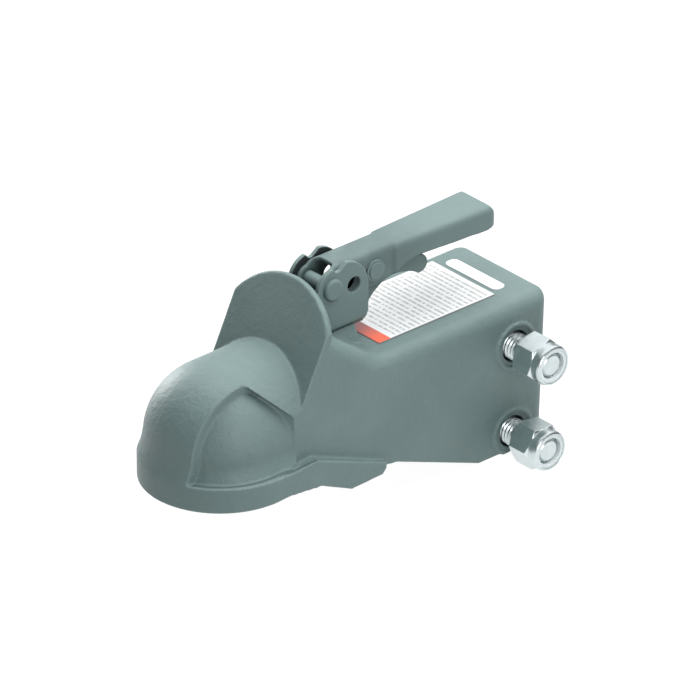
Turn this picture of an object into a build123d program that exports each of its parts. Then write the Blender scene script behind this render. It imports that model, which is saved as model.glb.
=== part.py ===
from build123d import *
from math import cos, pi, radians, sin, sqrt, tan
import os

os.makedirs("parts", exist_ok=True)

# Cast trailer coupling head for a 2 5/16 inch ball, with a cam handle, a finger trigger and
# two channel bolts. The origin is the centre of the ball, +X points towards the tow vehicle,
# +Y to the nut side and +Z up.

# Ball socket
ball_radius = 29.37
ball_clearance = 0.53
socket_radius = ball_radius + ball_clearance
rim_chamfer = 1.5

# Body of the casting: a box that is open behind and below
body_width = 76.0
body_top = 30.0
rear_x = -204.6
rear_lean = 3.8
rear_bottom = -61.3
rear_flat_length = 49.2
belly_x = -95.0
belly_z = -37.8
top_edge_radius = 9.0
side_wall = 8.0
top_wall = 9.0
inner_edge_radius = 5.0
bulkhead = 12.0

# Hood over the ball, with a recessed cheek on each side
dome_front_radius = 42.3
dome_rear_radius = 42.8
dome_rear_x = -46.0
cheek_radius = 37.5
cheek_flare_radius = 41.0
cheek_floor_y = 19.7
cheek_rear_x = -20.0
cheek_shoulder = (-19.5, 17.8)
cheek_apex = (-0.5, 36.6)
cheek_band = (0.766, 0.641, -0.04)

# Nose rim and the skirt that runs back from it
rim_radius = 45.8
rim_z = -25.0
skirt_rear_x = -84.0
skirt_rear_half_width = 41.4
skirt_ridge_front_z = -9.9
skirt_ridge_dip = (-13.0, -11.5)
skirt_ridge_apex = (-31.5, -10.7)
skirt_ridge_rear_z = -31.8
lug_bottom_z = -39.0
lug_front_x = -58.0
lug_notch = (-35.0, -28.0)

# Shield that leans back behind the hood, and the ramp behind it
shield_lean = 25.8
shield_foot_x = -29.6
shield_thickness = 5.0
shield_shoulder_z = 59.6
shield_top_z = 78.0
shield_edge_radius = 1.8
ramp_top = (-48.0, 56.0)
ramp_foot_x = -84.0
ramp_foot_radius = 22.0
ramp_top_radius = 5.0

# Bolts and lock nuts, 5/8 inch by 4 inch
bolt_diameter = 15.875
bolt_length = 107.95
upper_bolt_x = -181.6
bolt_step_x = 1.6
bolt_pitch = 53.2
upper_bolt_z = 3.4
bolt_tip_chamfer = 1.4
bolt_hole_clearance = 1.3
boss_radius = 14.2
boss_height = 1.2
boss_ring_width = 2.0
cross_tube_radius = 13.6
hex_across_flats = 23.8
bolt_head_height = 9.9
nut_height = 20.6
nut_hex_height = 14.6
nut_overhang = 0.8
nut_collar_radius = 11.8
nylon_outer_radius = 10.5
nylon_height = 3.4
nut_lip = 0.7
nut_lip_width = 0.5
upper_nut_turn = 44.0
lower_nut_turn = 4.0
thread_clearance = 0.03

# Latch bracket: a pressed U whose ears carry the handle
pivot_x = -69.6
pivot_z = 68.4
ear_outer_half = 12.8
ear_thickness = 3.0
bracket_floor_z = 41.2
ear_front_reach = 10.2
ear_rear_reach = 26.4
floor_front_reach = 9.6
floor_rear_reach = 19.6
ear_bend_radius = 3.2
seat_half_width = 11.0
seat_flare = 25.0
seat_rear_reach = 17.6
bracket_side_clearance = 0.3
bracket_rivet_reach = (-6.6, 15.0)
bracket_rivet_y = 6.2
bracket_rivet_radius = 1.9
bracket_rivet_head = 2.9
bracket_rivet_head_height = 1.5
bracket_rivet_length = 9.0

# Handle: a pressed channel with a cam on each cheek
handle_sheet = 2.6
handle_front_half = 9.5
handle_joggle_x = -116.0
handle_joggle = 1.5
handle_joggle_length = 1.6
handle_rear_half = 14.0
handle_rear_x = -190.5
handle_top_z = 79.2
grip_bottom_front = (-130.0, 66.5)
grip_bottom_rear = (-183.0, 65.2)
cheek_bottom_z = 58.5
handle_end_radius = 7.0
handle_plan_radius = 6.0
handle_edge_radius = 2.6
handle_swing = 88.0
cam_open_radius = 7.2
cam_lift = 9.5
cam_clearance = 0.3
arch_radius = 3.5
arch_rear_reach = 6.8

# Pins
pivot_pin_radius = 4.0
pivot_head_radius = 6.5
pivot_head_height = 2.6
trigger_x = -103.2
trigger_z = 67.4
trigger_pin_radius = 3.0
trigger_head_radius = 6.3
trigger_head_height = 1.1
trigger_step_radius = 4.6
trigger_step_height = 0.7
lock_hole_x = -85.6
lock_hole_z = 65.8
lock_hole_radius = 4.6
pin_clearance = 0.05

# Trigger inside the handle
trigger_half = 6.5
trigger_sheet = 2.2
hook_gap = 0.8
hook_engagement = 0.6
hook_depth = 3.6
hook_neck_gap = 1.0

# Plunger, wedge and jaw
pad_length = 14.0
pad_thickness = 3.5
pad_side_clearance = 0.3
stem_radius = 4.75
stem_clearance = 0.1
spring_seat_z = 22.0
spring_seat_radius = 8.3
slide_clearance = 0.3
wedge_half_width = 19.0
wedge_bottom = -20.0
wedge_top = 2.0
wedge_angle = 36.0
wedge_foot_length = 15.0
wedge_rear_x = -82.8
stem_socket_depth = 12.0
wedge_pin_radius = 2.0
jaw_half_width = 22.0
jaw_front_x = -21.0
jaw_bottom = -19.0
jaw_top = 2.2
rail_reach = 5.0
rail_bottom = -10.0
rail_top = -4.0
rail_front_x = -26.0
rail_rear_x = -47.0

# Springs
plunger_wire = 2.0
plunger_coil_radius = 6.6
plunger_coil_pitch = 3.9
trigger_wire = 1.2
trigger_coil_radius = 4.4
trigger_coil_turns = 3

# Labels on the top face
label_thickness = 0.25
label_front_x = -94.4
label_length = 85.4
label_width = 52.0
label_centre_y = -2.6
label_corner_radius = 1.0
tag_rear_x = -191.5
tag_length = 8.5
tag_width = 43.0
tag_centre_y = -1.6
tag_corner_radius = 3.4

# Outline of the ear, from the pivot: the front corner, the two lobes and the notch between them
ear_front_bend = (6.7, 7.9)
ear_front_tip = (-1.3, 12.0)
ear_notch = ((-4.0, 9.2), (-6.6, 9.9))
ear_rear_rise = (-10.9, 13.0)
ear_rear_lobe = ((-19.6, 9.4), (-25.2, 0.8))
ear_rear_corner_drop = (3.2, 22.0)

# Outline of the trigger's outer side, from its pin
finger_top = ((-5.3, 4.1), (-29.8, -2.6), (-36.3, -4.8))
finger_tip = ((-41.4, -11.2), (-35.0, -15.8))
finger_arc = ((-23.8, -11.0), (-13.3, -10.4), (-2.1, -15.8))
trigger_crown = ((7.3, -1.4), (2.0, 6.9))
hook_back = (5.6, -25.4)
finger_start_slope = (0.8, 0.6)
finger_end_slope = (0.35, -0.94)

# Worked out from the sizes above
half_width = body_width / 2
lean = radians(shield_lean)
cam_slope = cam_lift / radians(handle_swing)
stem_x = pivot_x - cam_slope
pad_top = pivot_z - cam_open_radius - cam_lift - cam_clearance
wedge_slope = tan(radians(wedge_angle))
jaw_travel = cam_lift * wedge_slope
upper_bolt = (upper_bolt_x, upper_bolt_z)
lower_bolt = (upper_bolt_x + bolt_step_x, upper_bolt_z - bolt_pitch)
cavity_front_x = wedge_rear_x - slide_clearance - bulkhead
boss_face_y = half_width + boss_height
ear_inner_half = ear_outer_half - ear_thickness
ear_front_x = pivot_x + ear_front_reach
ear_rear_x = pivot_x - ear_rear_reach
floor_front_x = pivot_x + floor_front_reach
floor_rear_x = pivot_x - floor_rear_reach
seat_rear_x = pivot_x - seat_rear_reach
bracket_rivet_x = [pivot_x - reach for reach in bracket_rivet_reach]
floor_top_z = bracket_floor_z + ear_thickness


def moved(points, x, z):
    """Offsets in the side view, taken from a pin at x, z."""
    return [(x + along, z + rise) for along, rise in points]


def side_plane(y):
    """The side view's plane at a distance y, with its extrusions going towards -Y."""
    return Plane.XZ.offset(-y)


def cross_bar(x, z, radius, y_from, y_to, mode=Mode.ADD):
    """A round bar or hole that runs across the part from y_from to y_to."""
    with BuildSketch(side_plane(y_to)) as circle:
        with Locations((x, z)):
            Circle(radius)
    extrude(circle.sketch, amount=y_to - y_from, mode=mode)


def side_slab(points, half, mode=Mode.ADD):
    """An outline of the side view, carried to both sides of the middle."""
    with BuildSketch(Plane.XZ) as outline:
        with BuildLine():
            Polyline(*points, close=True)
        make_face()
    extrude(outline.sketch, amount=half, both=True, mode=mode)


def shield_x(z):
    """The x of the shield's front face at a height."""
    return shield_foot_x - (z - body_top) * tan(lean)


# Cheek windows: the recesses that are cut into both sides of the hood
cheek_windows = []
for side in (1, -1):
    band_plane = Plane(
        origin=(cheek_shoulder[0], side * (half_width - 0.7), cheek_shoulder[1]),
        z_dir=(cheek_band[0], side * cheek_band[1], cheek_band[2]),
    )
    with BuildPart() as window:
        with BuildSketch(Plane.XZ.offset(-side * cheek_floor_y)):
            with BuildLine():
                Polyline(
                    (60, skirt_ridge_front_z),
                    (60, 60),
                    (cheek_apex[0] + 21, cheek_apex[1] + 23),
                    cheek_apex,
                    cheek_shoulder,
                    (cheek_rear_x, cheek_shoulder[1] - 1),
                    (cheek_rear_x, skirt_ridge_front_z),
                    close=True,
                )
            make_face()
        extrude(amount=-side * 50)
        split(bisect_by=band_plane, keep=Keep.TOP)
    cheek_windows.append(window.part)

# Hood: the dome and the nose that flares to the rim
with BuildPart() as hood:
    with BuildSketch(Plane.XZ):
        with BuildLine():
            Line((dome_rear_x, 0), (dome_front_radius, 0))
            CenterArc((0, 0), dome_front_radius, 0, 90)
            Line((0, dome_front_radius), (dome_rear_x, dome_rear_radius))
            Line((dome_rear_x, dome_rear_radius), (dome_rear_x, 0))
        make_face()
    revolve(axis=Axis.X)
    with BuildSketch(Plane.YZ.offset(dome_rear_x)):
        Rectangle(body_width, 120)
    extrude(amount=120, mode=Mode.INTERSECT)
    with BuildSketch(Plane.XZ):
        with BuildLine():
            flare_top = (sqrt(dome_front_radius**2 - 6.0**2), 6.0)
            Line((0, 6.0), flare_top)
            Spline(flare_top, (42.9, -3.5), (44.8, -12.5), (rim_radius, -21.0))
            ThreePointArc((rim_radius, -21.0), (rim_radius - 0.9, -23.9), (rim_radius - 3.0, rim_z))
            Line((rim_radius - 3.0, rim_z), (0, rim_z))
            Line((0, rim_z), (0, 6.0))
        make_face()
    revolve(axis=Axis.Z)
    for window_cut in cheek_windows:
        add(window_cut, mode=Mode.SUBTRACT)

# Cheeks: the wall round the ball that shows in the windows, flared where it meets the skirt
with BuildPart() as cheeks:
    with BuildSketch(Plane.XZ):
        with BuildLine():
            Line((cheek_rear_x - 10, 0), (cheek_radius, 0))
            CenterArc((0, 0), cheek_radius, 0, 90)
            Line((0, cheek_radius), (cheek_rear_x - 10, cheek_radius))
            Line((cheek_rear_x - 10, cheek_radius), (cheek_rear_x - 10, 0))
        make_face()
    revolve(axis=Axis.X)
    with BuildSketch(Plane.XZ):
        with BuildLine():
            Line((0, rim_z), (0, 0))
            Line((0, 0), (cheek_radius, 0))
            flare = Spline(
                (cheek_radius, 0),
                (cheek_flare_radius, skirt_ridge_front_z),
                tangents=((0, -1), (0.5, -0.87)),
            )
            Line(flare @ 1, (cheek_flare_radius, rim_z))
            Line((cheek_flare_radius, rim_z), (0, rim_z))
        make_face()
    revolve(axis=Axis.Z)
    with BuildSketch(Plane.YZ):
        with BuildLine():
            for side in (1, -1):
                Line((0, rim_z), (side * cheek_flare_radius, rim_z))
                Line((side * cheek_flare_radius, rim_z), (side * cheek_flare_radius, skirt_ridge_front_z))
                Spline(
                    (side * cheek_radius, 0),
                    (side * cheek_flare_radius, skirt_ridge_front_z),
                    tangents=((0, -1), (side * 0.5, -0.87)),
                )
                Line((side * cheek_radius, 0), (0, 0))
        make_face()
    extrude(amount=cheek_rear_x)

# Skirt: the flange along both sides, with its sloping ridge and the lug below
with BuildPart() as skirt:
    with BuildSketch(Plane.XY.offset(lug_bottom_z)):
        with BuildLine():
            CenterArc((0, 0), rim_radius, -90, 180)
            Line((0, rim_radius), (skirt_rear_x, skirt_rear_half_width))
            Line((skirt_rear_x, skirt_rear_half_width), (skirt_rear_x, -skirt_rear_half_width))
            Line((skirt_rear_x, -skirt_rear_half_width), (0, -rim_radius))
        make_face()
    extrude(amount=-lug_bottom_z)
    side_slab(
        (
            (rim_radius + 1, skirt_ridge_front_z),
            (20, skirt_ridge_front_z),
            skirt_ridge_dip,
            skirt_ridge_apex,
            (skirt_rear_x + 4, skirt_ridge_rear_z + 1),
            (skirt_rear_x, skirt_ridge_rear_z),
            (skirt_rear_x, lug_bottom_z + 3),
            (skirt_rear_x + 3, lug_bottom_z),
            (lug_front_x, lug_bottom_z),
            lug_notch,
            (-12, rim_z),
            (rim_radius + 1, rim_z),
        ),
        60,
        mode=Mode.INTERSECT,
    )

# Shield: the plate that leans back behind the hood
shield_plane = Plane(
    origin=(shield_foot_x, 0, body_top),
    x_dir=(0, 1, 0),
    z_dir=(cos(lean), 0, sin(lean)),
)
shoulder = (shield_shoulder_z - body_top) / cos(lean)
crown = (shield_top_z - body_top) / cos(lean)
with BuildPart() as shield:
    with BuildSketch(shield_plane):
        with BuildLine():
            Polyline(
                (half_width, shoulder),
                (half_width, -13),
                (-half_width, -13),
                (-half_width, shoulder),
            )
            ThreePointArc((-half_width, shoulder), (0, crown), (half_width, shoulder))
        make_face()
    extrude(amount=-shield_thickness)
    rim_edges = shield.edges().filter_by(GeomType.CIRCLE)
    fillet(rim_edges, shield_edge_radius)

# Casting: everything that is poured in one piece
with BuildPart() as coupler_casting:
    with BuildSketch(Plane.XZ) as side_view:
        with BuildLine():
            Polyline(
                (rear_x - rear_lean, body_top),
                (rear_x, rear_bottom),
                (rear_x + rear_flat_length, rear_bottom),
                (belly_x, belly_z),
                (skirt_rear_x, belly_z + 1.5),
                (lug_front_x - 3, lug_bottom_z + 1.5),
                (lug_notch[0] - 3, lug_notch[1]),
                (cheek_rear_x, rim_z),
                (cheek_rear_x, cheek_shoulder[1]),
                (shield_x(cheek_shoulder[1]), cheek_shoulder[1]),
                (shield_x(ramp_top[1]), ramp_top[1]),
                ramp_top,
                (ramp_foot_x, body_top),
                close=True,
            )
        make_face()
        foot = side_view.vertices().sort_by_distance((ramp_foot_x, 0, body_top))[0]
        fillet(foot, ramp_foot_radius)
        crest = side_view.vertices().sort_by_distance((ramp_top[0], 0, ramp_top[1]))[0]
        fillet(crest, ramp_top_radius)
        heel = side_view.vertices().sort_by_distance((rear_x + rear_flat_length, 0, rear_bottom))[0]
        fillet(heel, 6)
    extrude(amount=half_width, both=True)
    top_edges = [
        edge
        for edge in coupler_casting.edges()
        if abs(abs(edge.center().Y) - half_width) < 0.01
        and edge.center().Z > body_top - 0.01
        and edge.center().X < ramp_top[0] - 0.5
    ]
    fillet(top_edges, top_edge_radius)
    add(hood.part)
    add(cheeks.part)
    add(skirt.part)
    add(shield.part)

    # Seat for the latch bracket
    seat_height = bracket_floor_z - body_top + top_wall / 2
    seat_foot_half = seat_half_width + seat_height * tan(radians(seat_flare))
    with BuildSketch(Plane.YZ.offset(seat_rear_x)):
        with BuildLine():
            Polyline(
                (seat_half_width, bracket_floor_z),
                (seat_foot_half, bracket_floor_z - seat_height),
                (-seat_foot_half, bracket_floor_z - seat_height),
                (-seat_half_width, bracket_floor_z),
                close=True,
            )
        make_face()
    extrude(amount=ramp_top[0] - seat_rear_x)
    with BuildSketch(Plane.XY.offset(bracket_floor_z)):
        with Locations(((ear_rear_x + ear_front_x) / 2, 0)):
            Rectangle(
                ear_front_x - ear_rear_x + 2 * bracket_side_clearance,
                2 * (ear_outer_half + bracket_side_clearance),
            )
    extrude(amount=body_top + 20, mode=Mode.SUBTRACT)

    # Bolt bosses on both sides and the tubes that join them
    for x, z in (upper_bolt, lower_bolt):
        cross_bar(x, z, boss_radius, -boss_face_y, boss_face_y)

    # The open box
    side_slab(
        (
            (rear_x - rear_lean - 1, body_top - top_wall),
            (cavity_front_x, body_top - top_wall),
            (cavity_front_x, rear_bottom - 1),
            (rear_x - rear_lean - 1, rear_bottom - 1),
        ),
        half_width - side_wall,
        mode=Mode.SUBTRACT,
    )
    for x, z in (upper_bolt, lower_bolt):
        cross_bar(x, z, cross_tube_radius, -half_width + 1, half_width - 1)
    hole_radius = bolt_diameter / 2 + bolt_hole_clearance
    ring_inner = boss_radius - boss_ring_width
    for x, z in (upper_bolt, lower_bolt):
        cross_bar(x, z, hole_radius, -half_width - 5, half_width + 5, mode=Mode.SUBTRACT)
        cross_bar(x, z, ring_inner, half_width + 0.2, half_width + 5, mode=Mode.SUBTRACT)

    # The socket, and the pocket behind it for the jaw and the wedge
    Sphere(socket_radius, mode=Mode.SUBTRACT)
    with BuildSketch(Plane.XY):
        Circle(socket_radius)
    extrude(amount=-60, mode=Mode.SUBTRACT)
    side_slab(
        (
            (0, jaw_top + slide_clearance),
            (wedge_rear_x - slide_clearance, jaw_top + slide_clearance),
            (wedge_rear_x - slide_clearance, -60),
            (0, -60),
        ),
        jaw_half_width + slide_clearance,
        mode=Mode.SUBTRACT,
    )
    wedge_front_top = wedge_rear_x + wedge_foot_length + (wedge_top - wedge_bottom) * wedge_slope
    side_slab(
        (
            (wedge_front_top + slide_clearance, wedge_bottom),
            (wedge_front_top + slide_clearance, wedge_top + cam_lift + slide_clearance),
            (wedge_rear_x - slide_clearance, wedge_top + cam_lift + slide_clearance),
            (wedge_rear_x - slide_clearance, wedge_bottom),
        ),
        wedge_half_width + slide_clearance,
        mode=Mode.SUBTRACT,
    )
    side_slab(
        (
            (rail_front_x + slide_clearance, rail_top + slide_clearance),
            (rail_rear_x - jaw_travel - slide_clearance, rail_top + slide_clearance),
            (rail_rear_x - jaw_travel - slide_clearance, rail_bottom - slide_clearance),
            (rail_front_x + slide_clearance, rail_bottom - slide_clearance),
        ),
        jaw_half_width + rail_reach + slide_clearance,
        mode=Mode.SUBTRACT,
    )

    # The bore for the plunger and the pocket for its spring
    with BuildSketch(Plane.XY.offset(spring_seat_z)):
        with Locations((stem_x, 0)):
            Circle(spring_seat_radius)
    extrude(amount=60, mode=Mode.SUBTRACT)
    with BuildSketch(Plane.XY):
        with Locations((stem_x, 0)):
            Circle(stem_radius + stem_clearance)
    extrude(amount=60, mode=Mode.SUBTRACT)

    # Rivet holes under the bracket
    with BuildSketch(Plane.XY.offset(bracket_floor_z)):
        for x in bracket_rivet_x:
            for y in (bracket_rivet_y, -bracket_rivet_y):
                with Locations((x, y)):
                    Circle(bracket_rivet_radius)
    extrude(amount=-bracket_rivet_length, mode=Mode.SUBTRACT)

# Latch bracket
front_bend, front_tip, rear_rise = moved((ear_front_bend, ear_front_tip, ear_rear_rise), pivot_x, pivot_z)
notch = moved(ear_notch, pivot_x, pivot_z)
rear_lobe = moved(ear_rear_lobe, pivot_x, pivot_z)
rear_top_z = pivot_z - ear_rear_corner_drop[0]
rear_bend_z = pivot_z - ear_rear_corner_drop[1]
with BuildPart() as latch_bracket:
    with BuildSketch(Plane.XZ):
        with BuildLine():
            Polyline(
                (ear_rear_x + 2.4, bracket_floor_z),
                (ear_front_x, bracket_floor_z),
                (ear_front_x, pivot_z + 0.6),
            )
            ThreePointArc((ear_front_x, pivot_z + 0.6), front_bend, front_tip)
            ThreePointArc(front_tip, notch[0], notch[1])
            Line(notch[1], rear_rise)
            ThreePointArc(rear_rise, rear_lobe[0], rear_lobe[1])
            Polyline(
                rear_lobe[1],
                (ear_rear_x, rear_top_z),
                (ear_rear_x, rear_bend_z),
                (ear_rear_x + 2.4, bracket_floor_z),
            )
        make_face()
    extrude(amount=ear_outer_half, both=True)
    bend_edges = [
        edge
        for edge in latch_bracket.edges()
        if abs(edge.center().Z - bracket_floor_z) < 0.01 and abs(edge.center().Y) > ear_outer_half - 0.01
    ]
    fillet(bend_edges, ear_bend_radius)
    with BuildSketch(Plane.XY.offset(floor_top_z)):
        with Locations(((ear_rear_x + ear_front_x) / 2, 0)):
            Rectangle(ear_front_x - ear_rear_x + 4, 2 * ear_inner_half)
    extrude(amount=60, mode=Mode.SUBTRACT)
    with BuildSketch(Plane.XY.offset(bracket_floor_z - 1)):
        with Locations(((ear_front_x + floor_front_x) / 2 + 1, 0)):
            Rectangle(ear_front_x - floor_front_x + 2, 2 * ear_inner_half)
        with Locations(((ear_rear_x + floor_rear_x) / 2 - 1, 0)):
            Rectangle(floor_rear_x - ear_rear_x + 2, 2 * ear_inner_half)
    extrude(amount=10, mode=Mode.SUBTRACT)
    with BuildSketch(Plane.XY.offset(bracket_floor_z - 1)):
        with Locations((stem_x, 0)):
            Circle(spring_seat_radius)
        for x in bracket_rivet_x:
            for y in (bracket_rivet_y, -bracket_rivet_y):
                with Locations((x, y)):
                    Circle(bracket_rivet_radius)
    extrude(amount=10, mode=Mode.SUBTRACT)
    cross_bar(pivot_x, pivot_z, pivot_pin_radius, -20, 20, mode=Mode.SUBTRACT)
    cross_bar(lock_hole_x, lock_hole_z, lock_hole_radius, -20, 20, mode=Mode.SUBTRACT)

# Rivets that hold the bracket to its seat
with BuildPart() as bracket_rivets:
    for x in bracket_rivet_x:
        for y in (bracket_rivet_y, -bracket_rivet_y):
            with BuildSketch(Plane.XY.offset(bracket_floor_z - bracket_rivet_length)):
                with Locations((x, y)):
                    Circle(bracket_rivet_radius)
            extrude(amount=bracket_rivet_length + ear_thickness)
            with BuildSketch(Plane.XY.offset(floor_top_z)):
                with Locations((x, y)):
                    Circle(bracket_rivet_head)
            extrude(amount=bracket_rivet_head_height, taper=25)


def cam_points(count):
    """Points of the cam, an involute whose lift is in step with the swing of the handle."""
    points = []
    for step in range(count + 1):
        turn = radians(handle_swing) * step / count
        reach = cam_open_radius + cam_lift - cam_slope * turn
        out = turn - pi / 2
        x = reach * cos(out) + cam_slope * sin(out)
        z = reach * sin(out) - cam_slope * cos(out)
        points.append((pivot_x + x, pivot_z + z))
    return points


def handle_shape(inset):
    """The handle's outer form, or with an inset the space inside its sheet."""
    front = handle_front_half - inset
    rear = handle_rear_half - inset
    joggle = handle_joggle
    nose_x = pivot_x + 14
    cam = cam_points(8)
    with BuildPart() as shape:
        with BuildSketch(Plane.XY.offset(30)):
            with BuildLine():
                Polyline(
                    (nose_x, front),
                    (handle_joggle_x, front),
                    (handle_joggle_x - handle_joggle_length, front + joggle),
                    (handle_rear_x + 1.8 * inset, rear),
                    (handle_rear_x + 1.8 * inset, -rear),
                    (handle_joggle_x - handle_joggle_length, -front - joggle),
                    (handle_joggle_x, -front),
                    (nose_x, -front),
                    close=True,
                )
            make_face()
        extrude(amount=handle_top_z - inset - 30)
        corners = shape.edges().filter_by(Axis.Z).group_by(Axis.X)[0]
        fillet(corners, max(handle_plan_radius - inset, 1))
        top_rim = [
            edge
            for edge in shape.edges().group_by(Axis.Z)[-1]
            if edge.center().X < nose_x - 0.1
        ]
        fillet(top_rim, max(handle_edge_radius + 1.4 - inset, 0.8))
        if inset == 0:
            with BuildSketch(Plane.XZ):
                with BuildLine():
                    Spline(*cam)
                    tip = (pivot_x + cam_open_radius, pivot_z)
                    Line(cam[-1], tip)
                    ThreePointArc(
                        tip,
                        (pivot_x + cam_open_radius * cos(radians(42)), pivot_z + cam_open_radius * sin(radians(42))),
                        (pivot_x + cam_open_radius * cos(radians(84)), pivot_z + cam_open_radius * sin(radians(84))),
                    )
                    Polyline(
                        (pivot_x + cam_open_radius * cos(radians(84)), pivot_z + cam_open_radius * sin(radians(84))),
                        (pivot_x - 5.5, handle_top_z + 1),
                        (handle_rear_x + 5.6, handle_top_z + 1),
                        (handle_rear_x + 3.8, handle_top_z - 1.4),
                        (handle_rear_x, handle_top_z - 8.6),
                        (handle_rear_x + 1.8, grip_bottom_rear[1] + 1.4),
                        grip_bottom_rear,
                        grip_bottom_front,
                        (handle_joggle_x + 4, cheek_bottom_z),
                        (trigger_x + 7, cheek_bottom_z - 1),
                        (cam[0][0] - 9, cam[0][1] + 1.2),
                        cam[0],
                    )
                make_face()
            extrude(amount=40, both=True, mode=Mode.INTERSECT)
    return shape.part


# Handle
with BuildPart() as handle:
    add(handle_shape(0))
    add(handle_shape(handle_sheet), mode=Mode.SUBTRACT)
    arch_length = arch_rear_reach + 20
    with BuildSketch(Plane.XY.offset(pivot_z + pivot_pin_radius)):
        with Locations((pivot_x - arch_rear_reach + arch_length / 2, 0)):
            RectangleRounded(arch_length, 2 * (handle_front_half - handle_sheet), arch_radius)
    extrude(amount=20, mode=Mode.SUBTRACT)
    cross_bar(pivot_x, pivot_z, pivot_pin_radius + pin_clearance, -20, 20, mode=Mode.SUBTRACT)
    cross_bar(trigger_x, trigger_z, trigger_pin_radius, -20, 20, mode=Mode.SUBTRACT)
    cross_bar(lock_hole_x, lock_hole_z, lock_hole_radius, -20, 20, mode=Mode.SUBTRACT)

# Pivot pin of the handle, headed over outside both ears
with BuildPart() as handle_pivot_pin:
    pin_end = ear_outer_half + pivot_head_height
    cross_bar(pivot_x, pivot_z, pivot_head_radius, -pin_end, -ear_outer_half)
    cross_bar(pivot_x, pivot_z, pivot_head_radius, ear_outer_half, pin_end)
    end_edges = handle_pivot_pin.edges().group_by(Axis.Y)
    fillet(end_edges[0] + end_edges[-1], pivot_head_height - 0.7)
    cross_bar(pivot_x, pivot_z, pivot_pin_radius, -ear_outer_half, ear_outer_half)

# Pin of the trigger, with flat stepped heads on the handle's cheeks
with BuildPart() as trigger_pin:
    cross_bar(trigger_x, trigger_z, trigger_pin_radius, -handle_front_half, handle_front_half)
    for side in (1, -1):
        with BuildSketch(side_plane(side * handle_front_half)):
            with Locations((trigger_x, trigger_z)):
                Circle(trigger_head_radius)
        extrude(amount=-side * trigger_head_height)
        with BuildSketch(side_plane(side * (handle_front_half + trigger_head_height))):
            with Locations((trigger_x, trigger_z)):
                Circle(trigger_step_radius)
        extrude(amount=-side * trigger_step_height)

# Trigger
hook_top = bracket_floor_z - hook_gap
hook_tip_x = floor_rear_x + hook_engagement
neck_x = floor_rear_x - hook_neck_gap
top_line = moved(finger_top, trigger_x, trigger_z)
tip = moved(finger_tip, trigger_x, trigger_z)
arc = moved(finger_arc, trigger_x, trigger_z)
crown = moved(trigger_crown, trigger_x, trigger_z)
heel = moved([hook_back], trigger_x, trigger_z)[0]
with BuildPart() as trigger:
    with BuildSketch(Plane.XZ):
        with BuildLine():
            Polyline(*top_line)
            ThreePointArc(top_line[-1], tip[0], tip[1])
            Spline(
                tip[1],
                *arc,
                (heel[0] - 1.6, heel[1]),
                tangents=(finger_start_slope, finger_end_slope),
            )
            Polyline(
                (heel[0] - 1.6, heel[1]),
                (heel[0], hook_top - hook_depth),
                (hook_tip_x - 1.2, hook_top - hook_depth),
                (hook_tip_x, hook_top - 1.4),
                (hook_tip_x, hook_top),
                (neck_x, hook_top),
                (neck_x, bracket_floor_z + 6.5),
                crown[0],
            )
            ThreePointArc(crown[0], crown[1], top_line[0])
        make_face()
    extrude(amount=trigger_half, both=True)
    inner_tip = (tip[1][0], tip[1][1] + trigger_sheet)
    inner_heel = (heel[0] + 0.6, heel[1])
    with BuildSketch(Plane.XZ):
        with BuildLine():
            Polyline(
                (pivot_x, handle_top_z + 1),
                (tip[0][0] - 5, handle_top_z + 1),
                (tip[0][0] - 5, top_line[-1][1]),
                (top_line[-1][0], top_line[-1][1] - trigger_sheet),
            )
            ThreePointArc(
                (top_line[-1][0], top_line[-1][1] - trigger_sheet),
                (tip[0][0] + trigger_sheet, tip[0][1]),
                inner_tip,
            )
            Spline(
                inner_tip,
                *[(x + 0.3, z + trigger_sheet) for x, z in arc],
                inner_heel,
                tangents=(finger_start_slope, finger_end_slope),
            )
            Polyline(
                inner_heel,
                (inner_heel[0] + 1.8, inner_heel[1] - 15),
                (pivot_x, inner_heel[1] - 15),
                (pivot_x, handle_top_z + 1),
            )
        make_face()
    extrude(amount=trigger_half - trigger_sheet, both=True, mode=Mode.SUBTRACT)
    cross_bar(trigger_x, trigger_z, trigger_pin_radius + pin_clearance, -20, 20, mode=Mode.SUBTRACT)

# Plunger: the pad under the cams and its stem
with BuildPart() as latch_plunger:
    pad_half = ear_inner_half - pad_side_clearance
    with BuildSketch(Plane.XY.offset(pad_top - pad_thickness)):
        with Locations((stem_x, 0)):
            RectangleRounded(pad_length, 2 * pad_half, 2)
    extrude(amount=pad_thickness)
    with BuildSketch(Plane.XY.offset(wedge_top - stem_socket_depth)):
        with Locations((stem_x, 0)):
            Circle(stem_radius)
    extrude(amount=pad_top - pad_thickness - wedge_top + stem_socket_depth)
    cross_bar(stem_x, wedge_top - stem_socket_depth / 2, wedge_pin_radius, -20, 20, mode=Mode.SUBTRACT)

# Wedge: driven down behind the jaw
with BuildPart() as lock_wedge:
    side_slab(
        (
            (wedge_rear_x, wedge_bottom),
            (wedge_rear_x + wedge_foot_length, wedge_bottom),
            (wedge_front_top, wedge_top),
            (wedge_rear_x, wedge_top),
        ),
        wedge_half_width,
    )
    fillet(lock_wedge.edges().filter_by(Axis.X), 1.5)
    with BuildSketch(Plane.XY.offset(wedge_top)):
        with Locations((stem_x, 0)):
            Circle(stem_radius)
    extrude(amount=-stem_socket_depth, mode=Mode.SUBTRACT)
    cross_bar(stem_x, wedge_top - stem_socket_depth / 2, wedge_pin_radius, -30, 30, mode=Mode.SUBTRACT)

# Pin through the wedge and the stem
with BuildPart() as wedge_pin:
    cross_bar(
        stem_x,
        wedge_top - stem_socket_depth / 2,
        wedge_pin_radius,
        -wedge_half_width,
        wedge_half_width,
    )

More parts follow.
